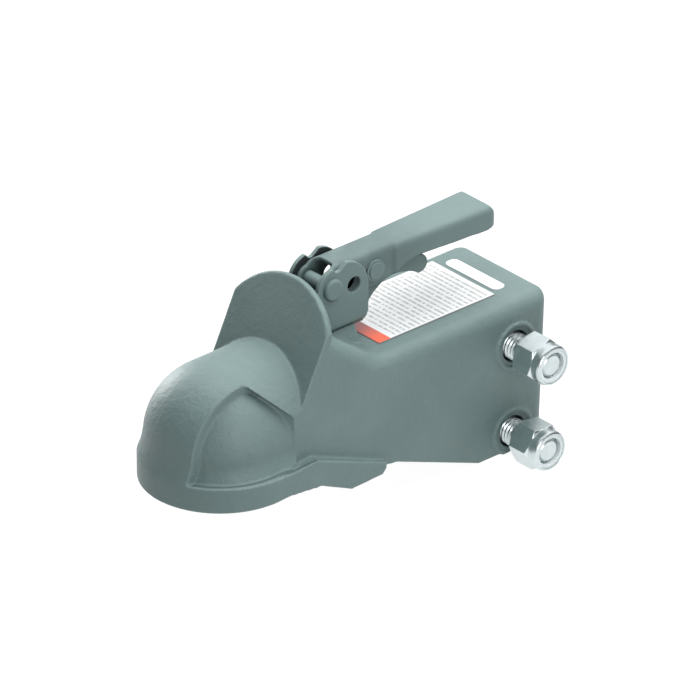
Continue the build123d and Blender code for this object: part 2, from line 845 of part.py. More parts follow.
# Jaw that holds the ball from behind
jaw_gap = slide_clearance / cos(radians(wedge_angle))
with BuildPart() as ball_jaw:
    jaw_rear_bottom = wedge_rear_x + wedge_foot_length + (jaw_bottom - wedge_bottom) * wedge_slope + jaw_gap
    jaw_rear_top = jaw_rear_bottom + (jaw_top - jaw_bottom) * wedge_slope
    side_slab(
        (
            (jaw_front_x, jaw_bottom),
            (jaw_front_x, jaw_top),
            (jaw_rear_top, jaw_top),
            (jaw_rear_bottom, jaw_bottom),
        ),
        jaw_half_width,
    )
    side_slab(
        (
            (rail_front_x, rail_top),
            (rail_rear_x, rail_top),
            (rail_rear_x, rail_bottom),
            (rail_front_x, rail_bottom),
        ),
        jaw_half_width + rail_reach,
    )
    Sphere(socket_radius, mode=Mode.SUBTRACT)


# Spring that lifts the plunger
plunger_spring_height = pad_top - pad_thickness - spring_seat_z - plunger_wire - 0.4
with BuildPart() as plunger_spring:
    with BuildLine(Plane(origin=(stem_x, 0, spring_seat_z + plunger_wire / 2 + 0.2))) as coil:
        Helix(pitch=plunger_coil_pitch, height=plunger_spring_height, radius=plunger_coil_radius)
    with BuildSketch(Plane(origin=coil.line @ 0, z_dir=coil.line % 0)):
        Circle(plunger_wire / 2)
    sweep()

# Spring that returns the trigger
trigger_coil_pitch = trigger_wire * 1.25
coil_width = trigger_coil_pitch * trigger_coil_turns
with BuildPart() as trigger_spring:
    with BuildLine() as coil:
        Helix(
            pitch=trigger_coil_pitch,
            height=coil_width,
            radius=trigger_coil_radius,
            center=(trigger_x, -coil_width / 2, trigger_z),
            direction=(0, 1, 0),
        )
    with BuildSketch(Plane(origin=coil.line @ 0, z_dir=coil.line % 0)):
        Circle(trigger_wire / 2)
    sweep()


def hex_prism(x, z, turn, y_from, y_to, mode=Mode.ADD):
    """A hexagonal bar across the part, with a corner at the angle turn above +X."""
    with BuildSketch(side_plane(y_to)) as hexagon:
        with Locations((x, z)):
            RegularPolygon(hex_across_flats / 2, 6, major_radius=False, rotation=turn)
    extrude(hexagon.sketch, amount=y_to - y_from, mode=mode)


def corner_cone(x, z, y_face, y_back):
    """Turns the corners of a hexagon off at 30 degrees towards the face at y_face."""
    corner = hex_across_flats / sqrt(3)
    flat = hex_across_flats / 2 * 0.985
    drop = (corner - flat) * tan(radians(30))
    way = 1 if y_face > y_back else -1
    with BuildSketch(Plane.XY.offset(z)) as profile:
        with BuildLine():
            Polyline(
                (x, y_face),
                (x + flat, y_face),
                (x + corner + 1, y_face - way * (drop + tan(radians(30)))),
                (x + corner + 1, y_back),
                (x, y_back),
                close=True,
            )
        make_face()
    revolve(profile.sketch, axis=Axis((x, 0, z), (0, 1, 0)), mode=Mode.INTERSECT)


def make_bolt(place, turn, name):
    """Hex bolt from the far side, with its end inside the lock nut."""
    x, z = place
    seat = -boss_face_y
    with BuildPart() as bolt:
        hex_prism(x, z, turn, seat - bolt_head_height, seat)
        corner_cone(x, z, seat - bolt_head_height, seat)
        cross_bar(x, z, bolt_diameter / 2, seat, seat + bolt_length)
        tip = bolt.edges().group_by(Axis.Y)[-1]
        chamfer(tip, bolt_tip_chamfer)
    bolt.part.label = name
    export_step(bolt.part, f"parts/{name}.step")


def make_nut(place, turn, name, ring_name):
    """Lock nut with a collar, and the nylon ring that the collar holds."""
    x, z = place
    outer = bolt_length - boss_face_y + nut_overhang
    inner = outer - nut_height
    bore = bolt_diameter / 2 + thread_clearance
    ring_top = outer - nut_lip
    with BuildPart() as nut:
        hex_prism(x, z, turn, inner, inner + nut_hex_height)
        corner_cone(x, z, inner, inner + nut_hex_height + 3)
        corner_cone(x, z, inner + nut_hex_height, inner)
        with BuildSketch(Plane.XY.offset(z)):
            with BuildLine():
                Polyline(
                    (x, inner + nut_hex_height),
                    (x + nut_collar_radius, inner + nut_hex_height),
                    (x + nut_collar_radius, outer - 2.2),
                )
                ThreePointArc(
                    (x + nut_collar_radius, outer - 2.2),
                    (x + nut_collar_radius - 0.5, outer - 0.7),
                    (x + nylon_outer_radius, outer),
                )
                Polyline(
                    (x + nylon_outer_radius, outer),
                    (x, outer),
                    (x, inner + nut_hex_height),
                )
            make_face()
        revolve(axis=Axis((x, 0, z), (0, 1, 0)))
        cross_bar(x, z, bore, inner - 1, outer + 1, mode=Mode.SUBTRACT)
        cross_bar(x, z, nylon_outer_radius, ring_top - nylon_height, ring_top, mode=Mode.SUBTRACT)
        lip_radius = nylon_outer_radius - nut_lip_width
        cross_bar(x, z, lip_radius, ring_top - 1, outer + 1, mode=Mode.SUBTRACT)
    nut.part.label = name
    export_step(nut.part, f"parts/{name}.step")
    with BuildPart() as ring:
        cross_bar(x, z, nylon_outer_radius, ring_top - nylon_height, ring_top)
        cross_bar(x, z, bore, ring_top - 10, ring_top + 1, mode=Mode.SUBTRACT)
    ring.part.label = ring_name
    export_step(ring.part, f"parts/{ring_name}.step")


make_bolt(upper_bolt, upper_nut_turn + 11, "hex_bolt_upper")
make_bolt(lower_bolt, lower_nut_turn + 23, "hex_bolt_lower")
make_nut(upper_bolt, upper_nut_turn, "lock_nut_upper", "nylon_ring_upper")
make_nut(lower_bolt, lower_nut_turn, "lock_nut_lower", "nylon_ring_lower")

# Labels
with BuildPart() as main_label:
    with BuildSketch(Plane.XY.offset(body_top)):
        with Locations((label_front_x - label_length / 2, label_centre_y)):
            RectangleRounded(label_length, label_width, label_corner_radius)
    extrude(amount=label_thickness)

with BuildPart() as size_tag:
    with BuildSketch(Plane.XY.offset(body_top)):
        with Locations((tag_rear_x + tag_length / 2, tag_centre_y)):
            RectangleRounded(tag_length, tag_width, tag_corner_radius)
    extrude(amount=label_thickness)

pieces = {
    "coupler_casting": coupler_casting,
    "latch_bracket": latch_bracket,
    "bracket_rivets": bracket_rivets,
    "handle": handle,
    "handle_pivot_pin": handle_pivot_pin,
    "trigger": trigger,
    "trigger_pin": trigger_pin,
    "trigger_spring": trigger_spring,
    "latch_plunger": latch_plunger,
    "plunger_spring": plunger_spring,
    "lock_wedge": lock_wedge,
    "wedge_pin": wedge_pin,
    "ball_jaw": ball_jaw,
    "main_label": main_label,
    "size_tag": size_tag,
}
for name, piece in pieces.items():
    piece.part.label = name
    export_step(piece.part, f"parts/{name}.step")
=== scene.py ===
import math

import bmesh
import bpy
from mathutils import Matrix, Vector


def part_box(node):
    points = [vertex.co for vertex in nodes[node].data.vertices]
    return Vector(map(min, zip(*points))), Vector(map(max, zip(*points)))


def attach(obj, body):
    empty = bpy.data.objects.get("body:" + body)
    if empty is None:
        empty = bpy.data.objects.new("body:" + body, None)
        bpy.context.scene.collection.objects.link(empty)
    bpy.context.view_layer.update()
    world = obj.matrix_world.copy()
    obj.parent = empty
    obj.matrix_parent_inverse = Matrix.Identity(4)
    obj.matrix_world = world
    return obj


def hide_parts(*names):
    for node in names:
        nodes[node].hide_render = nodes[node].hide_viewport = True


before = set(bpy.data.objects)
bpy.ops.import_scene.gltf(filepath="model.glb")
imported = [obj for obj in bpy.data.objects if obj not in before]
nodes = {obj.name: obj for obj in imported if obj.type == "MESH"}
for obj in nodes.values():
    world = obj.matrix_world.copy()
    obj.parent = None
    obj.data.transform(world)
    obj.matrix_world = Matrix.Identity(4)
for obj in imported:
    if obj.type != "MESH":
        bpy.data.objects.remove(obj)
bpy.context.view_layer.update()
print("frame loaded")


# Small helpers for node trees. A value is either a constant or another node's output
def feed(tree, value, socket):
    if isinstance(value, (int, float, tuple)):
        socket.default_value = value
    else:
        tree.links.new(value, socket)


def mathNode(tree, operation, first, second=None):
    node = tree.nodes.new("ShaderNodeMath")
    node.operation = operation
    feed(tree, first, node.inputs[0])
    if second is not None:
        feed(tree, second, node.inputs[1])
    return node.outputs[0]


def multiply(tree, *values):
    product = values[0]
    for value in values[1:]:
        product = mathNode(tree, "MULTIPLY", product, value)
    return product


def distanceFrom(tree, value, middle):
    return mathNode(tree, "ABSOLUTE", mathNode(tree, "SUBTRACT", value, middle))


def noiseNode(tree, vector, scale, detail=4.0, roughness=0.55, dimensions="3D"):
    node = tree.nodes.new("ShaderNodeTexNoise")
    node.noise_dimensions = dimensions
    feed(tree, vector, node.inputs["Vector"])
    feed(tree, scale, node.inputs["Scale"])
    feed(tree, detail, node.inputs["Detail"])
    feed(tree, roughness, node.inputs["Roughness"])
    return node.outputs["Fac"]


def rampNode(tree, value, low, high, start=0.0, end=1.0, curve="SMOOTHSTEP"):
    node = tree.nodes.new("ShaderNodeMapRange")
    node.interpolation_type = curve
    feed(tree, value, node.inputs["Value"])
    feed(tree, low, node.inputs["From Min"])
    feed(tree, high, node.inputs["From Max"])
    feed(tree, start, node.inputs["To Min"])
    feed(tree, end, node.inputs["To Max"])
    return node.outputs["Result"]


def mixColor(tree, factor, first, second):
    node = tree.nodes.new("ShaderNodeMix")
    node.data_type = "RGBA"
    feed(tree, factor, node.inputs[0])
    feed(tree, first, node.inputs[6])  # sockets A and B for colours
    feed(tree, second, node.inputs[7])
    return node.outputs[2]


def bumpNode(tree, height, strength, distance):
    node = tree.nodes.new("ShaderNodeBump")
    feed(tree, strength, node.inputs["Strength"])
    feed(tree, distance, node.inputs["Distance"])
    feed(tree, height, node.inputs["Height"])
    return node.outputs["Normal"]


def objectPlace(tree):
    return tree.nodes.new("ShaderNodeTexCoord").outputs["Object"]


def splitAxes(tree, vector):
    node = tree.nodes.new("ShaderNodeSeparateXYZ")
    feed(tree, vector, node.inputs[0])
    return node.outputs["X"], node.outputs["Y"], node.outputs["Z"]


def joinAxes(tree, *values):
    node = tree.nodes.new("ShaderNodeCombineXYZ")
    for value, socket in zip(values, node.inputs):
        feed(tree, value, socket)
    return node.outputs[0]


# Shader groups that more than one material uses
def newGroup(name, inputs, outputs):
    group = bpy.data.node_groups.new(name, "ShaderNodeTree")
    for label, default in inputs:
        socket = group.interface.new_socket(label, in_out="INPUT", socket_type="NodeSocketFloat")
        socket.default_value = default
    for label in outputs:
        group.interface.new_socket(label, in_out="OUTPUT", socket_type="NodeSocketFloat")
    entry = group.nodes.new("NodeGroupInput")
    leave = group.nodes.new("NodeGroupOutput")
    return group, entry, leave


def useGroup(tree, group, values):
    node = tree.nodes.new("ShaderNodeGroup")
    node.node_tree = group
    for label, value in values.items():
        node.inputs[label].default_value = value
    return node


# Sand-cast skin under paint: fine grains, soft lumps and small pits in patches, as a height
def makeCastSkin():
    look = {
        "grainShare": 0.5,
        "pitScale": 260.0,
        "pitCore": 0.05,
        "pitEdge": 0.16,
        "pitDepth": 0.5,
        "patchScale": 45.0,
        "patchLow": 0.56,
        "patchHigh": 0.66,
    }
    group, entry, leave = newGroup(
        "castSkin",
        [("Grain Scale", 1100.0), ("Lump Scale", 160.0), ("Lump Amount", 0.5)],
        ["Height", "Pits"],
    )
    place = objectPlace(group)
    grain = noiseNode(group, place, entry.outputs["Grain Scale"], detail=3.0, roughness=0.6)
    lumps = noiseNode(group, place, entry.outputs["Lump Scale"], detail=3.0, roughness=0.5)
    cells = group.nodes.new("ShaderNodeTexVoronoi")
    cells.feature = "F1"
    feed(group, place, cells.inputs["Vector"])
    feed(group, look["pitScale"], cells.inputs["Scale"])
    pits = rampNode(group, cells.outputs["Distance"], look["pitCore"], look["pitEdge"], start=1.0, end=0.0)
    patches = noiseNode(group, place, look["patchScale"], detail=2.0)
    pits = multiply(group, pits, rampNode(group, patches, look["patchLow"], look["patchHigh"]))
    height = mathNode(
        group, "ADD",
        multiply(group, grain, look["grainShare"]),
        multiply(group, lumps, entry.outputs["Lump Amount"]),
    )
    height = mathNode(group, "SUBTRACT", height, multiply(group, pits, look["pitDepth"]))
    feed(group, height, leave.inputs["Height"])
    feed(group, pits, leave.inputs["Pits"])
    return group


# Wear on edges: a mask from the angle between the true and the rounded normal
def makeEdgeWear():
    look = {
        "samples": 6,
        "sharp": 0.88,  # the two normals agree this little on a fully worn edge
        "flat": 0.985,
        "breakLow": 0.3,
        "breakHigh": 0.6,
        "leastWear": 0.35,
    }
    group, entry, leave = newGroup("edgeWear", [("Radius", 0.0012), ("Break Scale", 220.0)], ["Mask"])
    rounded = group.nodes.new("ShaderNodeBevel")
    rounded.samples = look["samples"]
    feed(group, entry.outputs["Radius"], rounded.inputs["Radius"])
    geometry = group.nodes.new("ShaderNodeNewGeometry")
    agree = group.nodes.new("ShaderNodeVectorMath")
    agree.operation = "DOT_PRODUCT"
    feed(group, rounded.outputs["Normal"], agree.inputs[0])
    feed(group, geometry.outputs["True Normal"], agree.inputs[1])
    edge = rampNode(group, agree.outputs["Value"], look["sharp"], look["flat"], start=1.0, end=0.0)
    breaks = noiseNode(group, objectPlace(group), entry.outputs["Break Scale"])
    breaks = rampNode(group, breaks, look["breakLow"], look["breakHigh"], start=look["leastWear"])
    feed(group, multiply(group, edge, breaks), leave.inputs["Mask"])
    return group


# Dust and handling smudges: a broad soft mask
def makeSmudge():
    look = {"detail": 5.0, "roughness": 0.62, "low": 0.42, "high": 0.66}
    group, entry, leave = newGroup("smudge", [("Scale", 22.0)], ["Mask"])
    broad = noiseNode(group, objectPlace(group), entry.outputs["Scale"], look["detail"], look["roughness"])
    feed(group, rampNode(group, broad, look["low"], look["high"]), leave.inputs["Mask"])
    return group


# Painted shade in corners and hollows, with some grime: a mask from how much of the surroundings a point
# sees
def makeGrime():
    look = {
        "samples": 8,
        "deep": 0.1,
        "open": 0.55,
        "breakLow": 0.25,
        "breakHigh": 0.6,
        "leastGrime": 0.55,
    }
    group, entry, leave = newGroup("grime", [("Reach", 0.006), ("Break Scale", 150.0)], ["Mask"])
    hollow = group.nodes.new("ShaderNodeAmbientOcclusion")
    hollow.samples = look["samples"]
    feed(group, entry.outputs["Reach"], hollow.inputs["Distance"])
    deep = rampNode(group, hollow.outputs["AO"], look["deep"], look["open"], start=1.0, end=0.0)
    breaks = noiseNode(group, objectPlace(group), entry.outputs["Break Scale"])
    breaks = rampNode(group, breaks, look["breakLow"], look["breakHigh"], start=look["leastGrime"])
    feed(group, multiply(group, deep, breaks), leave.inputs["Mask"])
    return group


castSkin = makeCastSkin()
edgeWear = makeEdgeWear()
smudge = makeSmudge()
grime = makeGrime()
print("shader groups made")


def newMaterial(name, roughness, metallic=0.0):
    material = bpy.data.materials.new(name)
    material.use_nodes = True
    tree = material.node_tree
    shader = tree.nodes["Principled BSDF"]
    feed(tree, roughness, shader.inputs["Roughness"])
    feed(tree, metallic, shader.inputs["Metallic"])
    return material, tree, shader


# Painted shade, nearly black, on the inner faces of pressed parts: those that face the middle or downwards
insideLook = {
    "color": (0.014, 0.019, 0.019, 1),
    "inwardFull": -0.6,
    "inwardNone": -0.25,
    "underFull": -0.7,
    "underNone": -0.4,
}


def insideMask(tree, look):
    coords = tree.nodes.new("ShaderNodeTexCoord")
    acrossY = splitAxes(tree, coords.outputs["Object"])[1]
    facingY, facingZ = splitAxes(tree, coords.outputs["Normal"])[1:]
    inward = multiply(tree, facingY, mathNode(tree, "SIGN", acrossY))
    inward = rampNode(tree, inward, look["inwardFull"], look["inwardNone"], start=1.0, end=0.0)
    under = rampNode(tree, facingZ, look["underFull"], look["underNone"], start=1.0, end=0.0)
    return mathNode(tree, "MAXIMUM", inward, under)


# A painted shade line on the ledge of the rim: round the ball in front of it, straight behind it
ledgeShadeLook = {
    "radius": 0.0431,
    "half": 0.0009,
    "z": -0.0107,
    "halfHeight": 0.0021,
    "sideY": 0.0205,  # none across the nose
    "rearX": -0.032,
    "amount": 0.5,
}


def ledgeShadeMask(tree, look):
    x, y, z = splitAxes(tree, objectPlace(tree))
    forward = mathNode(tree, "MAXIMUM", x, 0.0)
    squares = mathNode(tree, "ADD", multiply(tree, forward, forward), multiply(tree, y, y))
    off = distanceFrom(tree, mathNode(tree, "SQRT", squares), look["radius"])
    fade = look["half"] / 2
    line = rampNode(tree, off, look["half"] - fade, look["half"] + fade, start=1.0, end=0.0)
    level = mathNode(tree, "LESS_THAN", distanceFrom(tree, z, look["z"]), look["halfHeight"])
    beside = mathNode(tree, "GREATER_THAN", mathNode(tree, "ABSOLUTE", y), look["sideY"])
    ahead = mathNode(tree, "GREATER_THAN", x, look["rearX"])
    return multiply(tree, line, level, beside, ahead, look["amount"])


# The handle is darker towards its pivot, in blotches
pivotDarkLook = {
    "color": (0.078, 0.118, 0.118, 1),
    "lightX": -0.158,
    "darkX": -0.108,
    "blotchScale": 90.0,
    "blotchLow": 0.25,
    "blotchHigh": 0.6,
    "leastBlotch": 0.5,
}


def pivotDarkMask(tree, look):
    place = objectPlace(tree)
    front = rampNode(tree, splitAxes(tree, place)[0], look["lightX"], look["darkX"])
    blotches = noiseNode(tree, place, look["blotchScale"])
    blotches = rampNode(tree, blotches, look["blotchLow"], look["blotchHigh"], start=look["leastBlotch"])
    return multiply(tree, front, blotches)


# Grey green paint, on the casting and on the pressed parts
def makePaint(name, look):
    material, tree, shader = newMaterial(name, look["roughness"])
    skin = useGroup(tree, castSkin, {
        "Grain Scale": look["grainScale"],
        "Lump Scale": look["lumpScale"],
        "Lump Amount": look["lumpAmount"],
    })
    worn = useGroup(tree, edgeWear, {"Radius": look["wearRadius"], "Break Scale": look["wearBreaks"]})
    dirt = useGroup(tree, smudge, {"Scale": look["smudgeScale"]})
    shadedHollows = useGroup(tree, grime, {"Reach": look["grimeReach"]})
    pitted = multiply(tree, skin.outputs["Pits"], look["pitAmount"])
    rubbed = multiply(tree, worn.outputs["Mask"], look["wearAmount"])
    hollowShadeMask = multiply(tree, shadedHollows.outputs["Mask"], look["grimeAmount"])
    color = mixColor(tree, dirt.outputs["Mask"], look["color"], look["smudgeColor"])
    color = mixColor(tree, pitted, color, look["pitColor"])
    color = mixColor(tree, rubbed, color, look["wearColor"])
    # painted shade, with some grime, darkens hollows and corners
    color = mixColor(tree, hollowShadeMask, color, look["grimeColor"])
    if "inside" in look:
        # painted shade on the faces that turn inward or down
        color = mixColor(tree, insideMask(tree, look["inside"]), color, look["inside"]["color"])
    if "ledgeShade" in look:
        # painted shade: a dark line along the ledge
        color = mixColor(tree, ledgeShadeMask(tree, look["ledgeShade"]), color, look["grimeColor"])
    if "pivotDark" in look:
        # darker towards the pivot, in blotches
        color = mixColor(tree, pivotDarkMask(tree, look["pivotDark"]), color, look["pivotDark"]["color"])
    feed(tree, color, shader.inputs["Base Color"])
    dull = look["roughness"] + look["roughRise"]
    bright = look["roughness"] - look["roughDrop"]
    gloss = rampNode(tree, skin.outputs["Height"], look["heightLow"], look["heightHigh"], dull, bright)
    feed(tree, gloss, shader.inputs["Roughness"])
    normal = bumpNode(tree, skin.outputs["Height"], look["bump"], look["bumpDepth"])
    feed(tree, normal, shader.inputs["Normal"])
    shader.inputs["Specular IOR Level"].default_value = look["specular"]
    shader.inputs["Coat Weight"].default_value = look["coat"]
    shader.inputs["Coat Roughness"].default_value = look["coatRoughness"]
    return material


castLook = {
    "color": (0.096, 0.149, 0.147, 1),
    "smudgeColor": (0.107, 0.162, 0.16, 1),
    "smudgeScale": 20.0,
    "pitColor": (0.07, 0.1, 0.1, 1),
    "pitAmount": 0.6,
    "wearColor": (0.22, 0.285, 0.285, 1),
    "wearAmount": 0.6,
    "wearRadius": 0.0018,
    "wearBreaks": 260.0,
    "grimeColor": (0.02, 0.03, 0.03, 1),
    "grimeAmount": 0.75,
    "grimeReach": 0.007,
    "grainScale": 900.0,
    "lumpScale": 230.0,
    "lumpAmount": 1.1,
    "bump": 0.62,
    "bumpDepth": 0.0007,
    "roughness": 0.56,
    "roughRise": 0.07,  # duller in the skin's low places
    "roughDrop": 0.06,  # and brighter on its high ones
    "heightLow": 0.2,
    "heightHigh": 0.9,
    "coat": 0.05,
    "coatRoughness": 0.4,
    "specular": 0.4,
}
pressedLook = dict(
    castLook,
    inside=insideLook,
    wearRadius=0.0007,
    grimeAmount=0.9,
    grimeReach=0.012,
    lumpAmount=0.35,
    bump=0.22,
    roughness=0.53,
)
handleLook = dict(
    pressedLook,
    color=(0.101, 0.154, 0.152, 1),
    smudgeColor=(0.112, 0.168, 0.165, 1),
    pivotDark=pivotDarkLook,
    bump=0.16,
)
castPaint = makePaint("castPaint", dict(castLook, ledgeShade=ledgeShadeLook))
pressedPaint = makePaint("pressedPaint", pressedLook)
handlePaint = makePaint("handlePaint", handleLook)


# Metals: zinc plate, bare greased steel and spring wire
metalLook = {
    "roughDrop": 0.06,
    "roughRise": 0.1,
    "grainLow": 0.3,
    "grainHigh": 0.7,
    "bumpDepth": 0.0002,
}
zincLook = dict(
    metalLook,
    color=(0.66, 0.735, 0.745, 1),
    smudgeColor=(0.58, 0.65, 0.66, 1),
    smudgeScale=90.0,
    grainScale=700.0,
    roughness=0.34,
    bump=0.03,
)
steelLook = dict(
    metalLook,
    color=(0.27, 0.265, 0.255, 1),
    smudgeColor=(0.17, 0.16, 0.145, 1),
    smudgeScale=70.0,
    grainScale=420.0,
    roughness=0.36,
    bump=0.25,
)
wireLook = dict(
    metalLook,
    color=(0.5, 0.5, 0.49, 1),
    smudgeColor=(0.36, 0.36, 0.35, 1),
    smudgeScale=160.0,
    grainScale=900.0,
    roughness=0.26,
    bump=0.1,
)


def makeMetal(name, look):
    material, tree, shader = newMaterial(name, look["roughness"], 1.0)
    dirt = useGroup(tree, smudge, {"Scale": look["smudgeScale"]})
    color = mixColor(tree, dirt.outputs["Mask"], look["color"], look["smudgeColor"])
    feed(tree, color, shader.inputs["Base Color"])
    fine = noiseNode(tree, objectPlace(tree), look["grainScale"], detail=5.0, roughness=0.6)
    bright = look["roughness"] - look["roughDrop"]
    dull = look["roughness"] + look["roughRise"]
    gloss = rampNode(tree, fine, look["grainLow"], look["grainHigh"], bright, dull)
    feed(tree, gloss, shader.inputs["Roughness"])
    feed(tree, bumpNode(tree, fine, look["bump"], look["bumpDepth"]), shader.inputs["Normal"])
    return material


zincPlate = makeMetal("zincPlate", zincLook)
bareSteel = makeMetal("bareSteel", steelLook)
springWire = makeMetal("springWire", wireLook)


# White nylon of the lock rings
def makeNylon():
    look = {
        "color": (0.6, 0.67, 0.68, 1),
        "roughness": 0.42,
        "subsurface": 0.25,
        "depth": 0.002,
        "grainScale": 800.0,
        "bump": 0.12,
        "bumpDepth": 0.0002,
    }
    material, tree, shader = newMaterial("nylon", look["roughness"])
    shader.inputs["Base Color"].default_value = look["color"]
    shader.inputs["Subsurface Weight"].default_value = look["subsurface"]
    shader.inputs["Subsurface Radius"].default_value = (look["depth"],) * 3
    fine = noiseNode(tree, objectPlace(tree), look["grainScale"], detail=3.0)
    feed(tree, bumpNode(tree, fine, look["bump"], look["bumpDepth"]), shader.inputs["Normal"])
    return material


nylon = makeNylon()

# Label films. Margins are measured in from the sheet's own edges
filmLook = {
    "roughness": 0.34,
    "mottle": 0.96,  # how bright the darker spots are
    "mottleScale": 60.0,
    "waveScale": 120.0,
    "bump": 0.12,
    "bumpDepth": 0.0003,
    "rowShift": 1.0,  # keeps the count of the rows above zero
    "rowChange": 7.31,  # gives each row other dashes
}
labelLook = dict(
    filmLook,
    white=(0.56, 0.615, 0.625, 1),
    ink=(0.2, 0.22, 0.22, 1),
    inkAmount=0.72,
    rowPitch=0.00355,
    rowFill=0.46,
    dashScale=900.0,
    dashCut=0.42,
    sideMargin=0.0022,
    rearMargin=0.002,
    frontMargin=0.0124,
)
tagLook = dict(
    filmLook,
    white=(0.6, 0.655, 0.665, 1),
    ink=(0.3, 0.32, 0.32, 1),
    inkAmount=0.45,
    rowPitch=0.004,
    rowFill=0.5,
    dashScale=500.0,
    dashCut=0.45,
    sideMargin=0.005,
    rearMargin=0.0017,
    frontMargin=0.0017,
)
bandLook = {
    "color": (0.62, 0.1, 0.045, 1),
    "shadowColor": (0.16, 0.07, 0.075, 1),
    "fadeFarY": -0.004,
    "fadeNearY": 0.02,
    "length": 0.0091,
    "farMargin": 0.001,
    "nearMargin": 0.0008,
    "rim": (0.03, 0.035, 0.035, 1),  # painted shadow line, on the near side and at the front
    "rimAmount": 0.85,
    "rimSide": 0.0009,
    "rimFront": 0.0008,
}


# Rows of plain dashes, whose lengths come from a noise that differs from row to row
def dashMask(tree, look, low, high):
    x, y = splitAxes(tree, objectPlace(tree))[:2]
    rows = mathNode(tree, "DIVIDE", mathNode(tree, "ADD", x, look["rowShift"]), look["rowPitch"])
    inRow = mathNode(tree, "LESS_THAN", mathNode(tree, "FRACT", rows), look["rowFill"])
    along = multiply(tree, y, look["dashScale"])
    other = multiply(tree, mathNode(tree, "FLOOR", rows), look["rowChange"])
    dashes = noiseNode(tree, joinAxes(tree, along, other), 1.0, detail=2.0, roughness=0.7, dimensions="2D")
    inked = mathNode(tree, "GREATER_THAN", dashes, look["dashCut"])
    middleY = (low.y + high.y) / 2
    halfRows = (high.y - low.y) / 2 - look["sideMargin"]
    across = mathNode(tree, "LESS_THAN", distanceFrom(tree, y, middleY), halfRows)
    rear = mathNode(tree, "GREATER_THAN", x, low.x + look["rearMargin"])
    front = mathNode(tree, "LESS_THAN", x, high.x - look["frontMargin"])
    return multiply(tree, inRow, inked, across, rear, front)


# The orange band at the front, with painted shadow on its far side, and a painted shadow line along the
# film's near side and front
def addBand(tree, color, look, low, high):
    x, y = splitAxes(tree, objectPlace(tree))[:2]
    band = multiply(
        tree,
        mathNode(tree, "GREATER_THAN", x, high.x - look["length"]),
        mathNode(tree, "GREATER_THAN", y, low.y + look["farMargin"]),
        mathNode(tree, "LESS_THAN", y, high.y - look["nearMargin"]),
    )
    # painted shadow over the band's far side
    fade = rampNode(tree, y, look["fadeFarY"], look["fadeNearY"])
    color = mixColor(tree, band, color, mixColor(tree, fade, look["shadowColor"], look["color"]))
    # painted shadow line along the film's near side and front
    rim = mathNode(
        tree, "MAXIMUM",
        mathNode(tree, "GREATER_THAN", y, high.y - look["rimSide"]),
        mathNode(tree, "GREATER_THAN", x, high.x - look["rimFront"]),
    )
    return mixColor(tree, multiply(tree, rim, look["rimAmount"]), color, look["rim"])


def makeLabelFilm(name, nodeName, look, band=None):
    low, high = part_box(nodeName)
    material, tree, shader = newMaterial(name, look["roughness"])
    place = objectPlace(tree)
    shade = tuple(part * look["mottle"] for part in look["white"][:3]) + (1,)
    mottle = noiseNode(tree, place, look["mottleScale"], detail=3.0)
    color = mixColor(tree, mottle, look["white"], shade)
    ink = multiply(tree, dashMask(tree, look, low, high), look["inkAmount"])
    color = mixColor(tree, ink, color, look["ink"])
    if band:
        color = addBand(tree, color, band, low, high)
    feed(tree, color, shader.inputs["Base Color"])
    waves = noiseNode(tree, place, look["waveScale"], detail=2.0)
    feed(tree, bumpNode(tree, waves, look["bump"], look["bumpDepth"]), shader.inputs["Normal"])
    return material


labelFilm = makeLabelFilm("labelFilm", "main_label", labelLook, bandLook)
tagFilm = makeLabelFilm("tagFilm", "size_tag", tagLook)
print("materials made")


def giveMaterial(obj, material):
    obj.data.materials.clear()
    obj.data.materials.append(material)


# A new object with a copy of a CAD node's mesh
def copyNode(nodeName, name):
    obj = bpy.data.objects.new(name, nodes[nodeName].data.copy())
    bpy.context.scene.collection.objects.link(obj)
    return obj


def bakeModifiers(obj):
    graph = bpy.context.evaluated_depsgraph_get()
    baked = bpy.data.meshes.new_from_object(obj.evaluated_get(graph))
    obj.modifiers.clear()
    obj.data = baked


# The finished piece stands for its CAD node, which gets the same finish
def finishPiece(obj, nodeName, material, body):
    giveMaterial(obj, material)
    giveMaterial(nodes[nodeName], material)
    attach(obj, body)
    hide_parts(nodeName)
    print(obj.name, "triangles", sum(len(face.vertices) - 2 for face in obj.data.polygons))


# The nose flares into the rim without a ledge, and the dome runs on over the front of the far cheek
noseLook = {
    "dome": 0.0423,
    "inner": 0.0365,
    "nearY": 0.0196,
    "farCheekY": -0.0195,
    "overlap": 0.0005,
    "farEndY": -0.0305,
    "farRearX": -0.006,
    "flare": (  # height and radius of the flare, from the dome down to the rim
        (0.007, 0.04172),
        (0.003, 0.0422),
        (-0.002, 0.0431),
        (-0.006, 0.0443),
        (-0.0095, 0.04572),
        (-0.0125, 0.04576),
    ),
    "flareSteps": 4,
    "noseColumns": 36,
    "cheekColumns": 14,
    "archSteps": 30,
    "runSteps": 3,
}


def evenSteps(low, high, count):
    return [low + (high - low) * index / count for index in range(count + 1)]


# Points up the flare, where the upright plane at y cuts it
def flarePoints(y):
    flare = noseLook["flare"][::-1]
    count = noseLook["flareSteps"]
    heights = []
    for (lowZ, lowRadius), (highZ, highRadius) in zip(flare, flare[1:]):
        shares = [step / count for step in range(count)]
        heights += [(lowZ + (highZ - lowZ) * s, lowRadius + (highRadius - lowRadius) * s) for s in shares]
    heights.append(flare[-1])
    return [Vector((math.sqrt(radius ** 2 - y ** 2), y, z)) for z, radius in heights]


# The flare, then the dome over the top, then straight back
def domePoints(y):
    look = noseLook
    arc = math.sqrt(look["dome"] ** 2 - y ** 2)
    foot = math.asin(look["flare"][0][0] / arc)
    angles = evenSteps(foot, math.pi / 2, look["archSteps"])[1:]
    arch = [Vector((arc * math.cos(angle), y, arc * math.sin(angle))) for angle in angles]
    run = [Vector((x, y, arc)) for x in evenSteps(0.0, look["farRearX"], look["runSteps"])[1:]]
    return flarePoints(y) + arch + run


